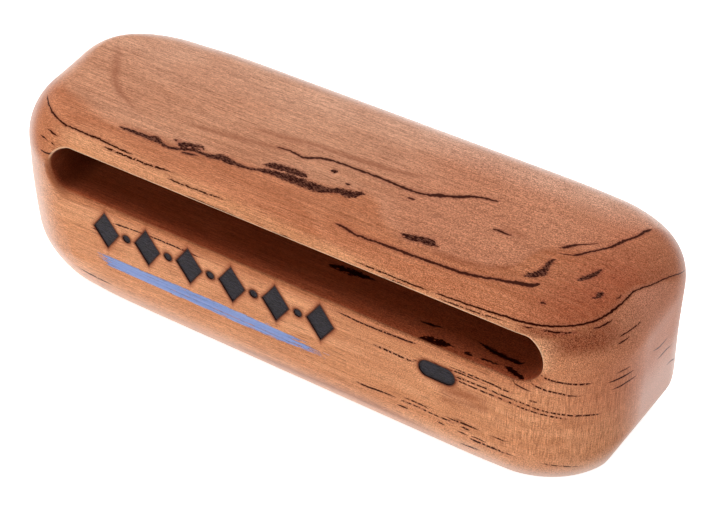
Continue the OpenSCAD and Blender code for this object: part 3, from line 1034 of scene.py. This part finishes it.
def block_piece(material):
    """The block: slotted, given an even skin, seated on its true faces, sanded and burned."""
    cutter = bmesh.new()
    bar_with_round_ends(cutter, SLOT_LEFT, SLOT_RIGHT, SLOT_Z, SLOT_HEIGHT, FRONT - 6, SLOT_BACK, 64)
    rough = mesh_object(rounded_block(), "rough block")
    rough = mesh_object(cut(rough, cutter, "slot cutter"), "slotted block")
    skin = rough.modifiers.new("even skin", "REMESH")
    skin.mode = "VOXEL"
    skin.voxel_size = 1.25
    bm = baked(rough)
    # finer faces towards the lips
    for reach in (3.6, 2.4, 1.35):
        points = points_of(bm.verts)
        near = (np.abs(body_distance(points)) < reach) & (np.abs(slot_distance(points)) < reach)
        close = [e for e in bm.edges if near[e.verts[0].index] and near[e.verts[1].index]]
        bmesh.ops.subdivide_edges(bm, edges=close, cuts=1, use_grid_fill=True)
        bm.verts.index_update()
    for v, place in zip(bm.verts, hand_sanded(ease_lips(points_of(bm.verts)))):
        v.co = place
    # the seats that the iron burned
    iron, spare = bmesh.new(), 0.02
    burned_row_shapes(iron, FRONT - 2, FRONT + BURN_DEPTH, spare)
    burned_oval_shape(iron, FRONT - 2, FRONT + BURN_DEPTH, spare)
    bm = cut(mesh_object(bm, "eased block"), iron, "iron")
    mark_surface(piece_from(bm, "block_wood", material, "block", 50))


def charred_piece(shapes, name, node, material):
    """Char in its seats, a little below the wood, with eased rims."""
    bm = bmesh.new()
    face = FRONT + CHAR_SUNK
    shapes(bm, face, FRONT + BURN_DEPTH)
    rim = [e for e in bm.edges if all(abs(v.co.y - face) < 1e-4 for v in e.verts)]
    bmesh.ops.bevel(bm, geom=rim, offset=CHAR_RIM, segments=2, profile=0.5, affect="EDGES",
                    material=-1)
    piece_from(bm, name, material, node)


def paint_piece(material):
    """The film of paint, from its solid's face back to just before the wood."""
    bm = bmesh.new()
    bar_with_round_ends(bm, band_low[0] + BAND_HIGH / 2, band_high[0] - BAND_HIGH / 2, BAND_Z,
                        BAND_HIGH, FRONT - HAIR, FRONT - HAIR / 5)
    piece_from(bm, "paint_band_brushed", material, "paint_band")


CHAR = char_material()
block_piece(wood_material())
charred_piece(burned_row_shapes, "burned_row_char", "burned_row", CHAR)
charred_piece(burned_oval_shape, "burned_oval_char", "burned_oval", CHAR)
paint_piece(paint_material())


# Studio, in metres
def seen_straight(tree):
    """1 for rays that come from the camera, straight or through glass."""
    path = new_node(tree, "ShaderNodeLightPath").outputs
    return larger(Wire(path["Is Camera Ray"]), Wire(path["Is Transmission Ray"]))


def floor_and_backdrop():
    """A wide white floor that the block still shades."""
    material, tree, shader = new_material("white studio")
    tree.nodes.remove(shader)
    mirrored = Wire(new_node(tree, "ShaderNodeLightPath").outputs["Is Glossy Ray"])
    glowing = seen_straight(tree).scaled(0.8, mirrored * 0.55)
    glow = new_node(tree, "ShaderNodeEmission", {"Strength": glowing})
    diffuse = new_node(tree, "ShaderNodeBsdfDiffuse", {"Color": (0.9, 0.9, 0.9)})
    both = new_node(tree, "ShaderNodeAddShader",
                    {0: Wire(diffuse.outputs[0]), 1: Wire(glow.outputs[0])})
    give(tree.nodes["Material Output"], {"Surface": Wire(both.outputs[0])})
    bm = bmesh.new()
    bmesh.ops.create_grid(bm, x_segments=1, y_segments=1, size=6)
    floor = mesh_object(bm, "floor")
    floor.data.materials.append(material)


def soft_lamp(name, place, aim, size, power):
    data = bpy.data.lights.new(name, "AREA")
    data.shape = "DISK"
    data.size = size
    data.energy = power
    lamp = placed(name, data)
    lamp.location = place
    lamp.visible_glossy = False
    lamp.rotation_euler = (Vector(aim) - Vector(place)).to_track_quat("-Z", "Y").to_euler()


def world_light():
    """White to the camera. The room is pale low down behind the block and dim elsewhere."""
    world = bpy.data.worlds.new("studio air")
    bpy.context.scene.world = world
    world.use_nodes = True
    tree = world.node_tree
    _, y, z = parts_of(Wire(new_node(tree, "ShaderNodeTexCoord").outputs["Generated"]))
    room = (y.soft(-0.15, 0.35) * z.soft(0.52, 0.32)).scaled(0.9, 0.15)
    give(tree.nodes["Background"],
         {"Color": (1, 1, 1), "Strength": larger(seen_straight(tree), room)})


def camera():
    """The photograph's camera: its lens, its place and the ways it is turned."""
    data = bpy.data.cameras.new("camera")
    data.sensor_width = 36
    data.lens = 97.71
    data.clip_start, data.clip_end = 0.05, 20
    cam = placed("camera", data)
    right = Vector((0.84263, 0.53849, 0.0))
    up = Vector((-0.34474, 0.53945, 0.76821))
    back = Vector((0.41368, -0.64732, 0.64020))
    turn = Matrix((right, up, back)).transposed()
    cam.matrix_world = Matrix.Translation((0.22481, -0.34333, 0.37182)) @ turn.to_4x4()
    bpy.context.scene.camera = cam


floor_and_backdrop()
world_light()
soft_lamp("over", (-0.5, 0.25, 1.05), (0, 0, 0.05), 0.9, 9.4)
soft_lamp("low front", (-0.35, -1.15, 0.22), (0, 0, 0.04), 0.35, 7.8)
soft_lamp("right fill", (1.2, -0.35, 0.3), (0.05, 0, 0.03), 0.5, 3.0)
camera()
bpy.context.scene.view_settings.view_transform = "Standard"
